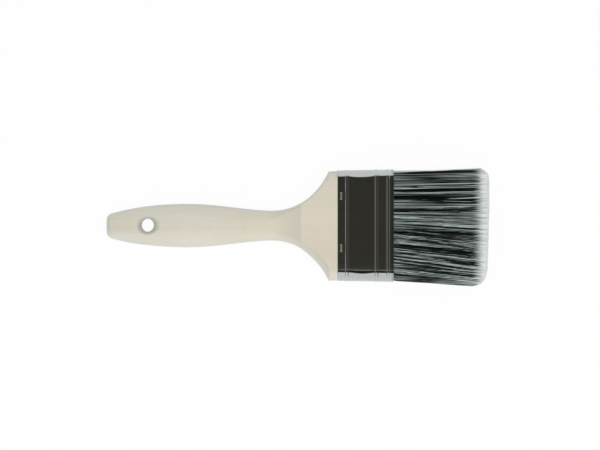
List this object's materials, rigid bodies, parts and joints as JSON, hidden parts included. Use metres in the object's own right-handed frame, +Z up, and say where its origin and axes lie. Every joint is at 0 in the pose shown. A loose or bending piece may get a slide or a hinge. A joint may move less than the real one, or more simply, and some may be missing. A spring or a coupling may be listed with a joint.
{
  "type": "paint brush",
  "caption": "Flat decorator's paint brush with a shaped pale wooden handle, a hanging hole, a beaded polished ferrule and dark filaments with pale tips.",
  "frame": {"origin": "under the middle of the brush, mid length and mid width, on the surface that the ferrule's beads stand on", "axes": "+X along the brush towards the filaments' tips, +Y across its width, +Z up through its thickness and along the hanging hole"},
  "size_m": [0.2605, 0.081, 0.02],
  "materials": {
    "pale_wood": "smooth sanded pale hardwood with a thin clear coat",
    "polished_steel": "polished, bright plated sheet steel",
    "staple_wire": "dull flattened wire",
    "setting_resin": "cast resin",
    "spacer_wood": "raw sawn wood",
    "filament": "tapered synthetic filaments, charcoal with pale tips"
  },
  "bodies": {
    "root": {"handle": "pale_wood", "ferrule": "polished_steel", "staple_front_left": "staple_wire", "staple_front_right": "staple_wire", "staple_back_left": "staple_wire", "staple_back_right": "staple_wire", "epoxy_setting": "setting_resin", "spacer_plug_front": "spacer_wood", "spacer_plug_back": "spacer_wood", "bristles_front": "filament", "bristles_middle": "filament", "bristles_back": "filament"}
  },
  "joints": []
}
